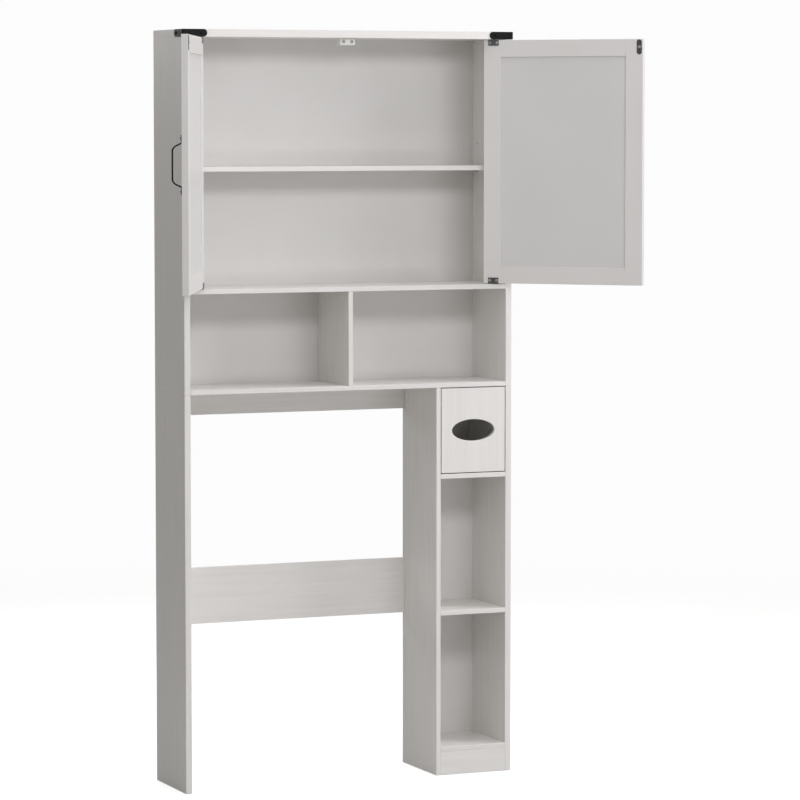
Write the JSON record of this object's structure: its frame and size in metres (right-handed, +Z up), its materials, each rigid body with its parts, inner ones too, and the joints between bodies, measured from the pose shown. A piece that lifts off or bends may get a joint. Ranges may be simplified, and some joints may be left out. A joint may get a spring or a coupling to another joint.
{
  "type": "over the toilet storage rack",
  "caption": "Tall free-standing rack that bridges a toilet: open frame with a cubby column and pull-out paper box, open compartments and a cabinet with framed doors above.",
  "frame": {"origin": "rear outer bottom corner of the left leg, where the floor, the wall plane and the left side meet", "axes": "+X to the right seen from the front, +Y back towards the wall, +Z up; the closed doors' faces are at Y = -0.2"},
  "size_m": [1.164, 0.5229, 1.72],
  "materials": {
    "white_melamine": "satin white melamine foil with a faint wood grain",
    "white_hardboard": "satin white lacquered hardboard",
    "painted_door_frame": "satin white foil on fibreboard",
    "painted_door_panel": "satin light grey foil on fibreboard",
    "beech": "fluted, untreated",
    "black_coated_steel": "satin black powder coat",
    "zinc_plated_steel": "bright zinc plate",
    "white_nylon": "moulded, matte",
    "ferrite": "dull dark grey sintered ferrite"
  },
  "bodies": {
    "frame": {"left_leg": "white_melamine", "column_partition": "white_melamine", "right_leg": "white_melamine", "plinth": "white_melamine", "column_bottom": "white_melamine", "column_shelf": "white_melamine", "paper_box_floor": "white_melamine", "column_back": "white_hardboard", "upper_rail": "white_melamine", "lower_rail": "white_melamine", "left_side": "white_melamine", "right_side": "white_melamine", "deck": "white_melamine", "compartment_divider": "white_melamine", "cabinet_floor": "white_melamine", "top_board": "white_melamine", "upper_back": "white_hardboard", "adjustable_shelf": "white_melamine", "shelf_pins": "zinc_plated_steel", "cam_bolts": "zinc_plated_steel", "cam_locks": "zinc_plated_steel", "dowels": "beech", "left_corner_strap": "black_coated_steel", "right_corner_strap": "black_coated_steel", "strap_screws": "black_coated_steel", "catch_body": "white_nylon", "catch_magnets": "ferrite", "wall_bracket": "zinc_plated_steel", "cabinet_screws": "zinc_plated_steel", "pivot_bushes": "white_nylon", "paper_box_runners": "white_nylon"},
    "paper_box": {"paper_box_front": "white_melamine", "paper_box_left_side": "white_melamine", "paper_box_right_side": "white_melamine", "paper_box_back": "white_melamine", "paper_box_bottom": "white_hardboard"},
    "left_door": {"left_hinge_stile": "painted_door_frame", "left_meeting_stile": "painted_door_frame", "left_top_rail": "painted_door_frame", "left_bottom_rail": "painted_door_frame", "left_door_panel": "painted_door_panel", "left_hinge_plates": "zinc_plated_steel", "left_pivot_pins": "zinc_plated_steel", "left_strike_plate": "zinc_plated_steel", "left_door_screws": "zinc_plated_steel", "left_handle": "black_coated_steel", "left_handle_screws": "black_coated_steel"},
    "right_door": {"right_hinge_stile": "painted_door_frame", "right_meeting_stile": "painted_door_frame", "right_top_rail": "painted_door_frame", "right_bottom_rail": "painted_door_frame", "right_door_panel": "painted_door_panel", "right_hinge_plates": "zinc_plated_steel", "right_pivot_pins": "zinc_plated_steel", "right_strike_plate": "zinc_plated_steel", "right_door_screws": "zinc_plated_steel", "right_handle": "black_coated_steel", "right_handle_screws": "black_coated_steel"}
  },
  "joints": [
    {"name": "left_door_pivot", "type": "hinge", "parent": "frame", "child": "left_door", "pos_m": [0.0405, -0.1925, 1.421], "axis": [0, 0, 1], "range_deg": [-25.2, 114.8]},
    {"name": "right_door_pivot", "type": "hinge", "parent": "frame", "child": "right_door", "pos_m": [0.7645, -0.1925, 1.421], "axis": [0, 0, 1], "range_deg": [-135.4, 4.6]},
    {"name": "paper_box_slide", "type": "slide", "parent": "frame", "child": "paper_box", "axis": [0, -1, 0], "range_m": [0, 0.12]}
  ]
}
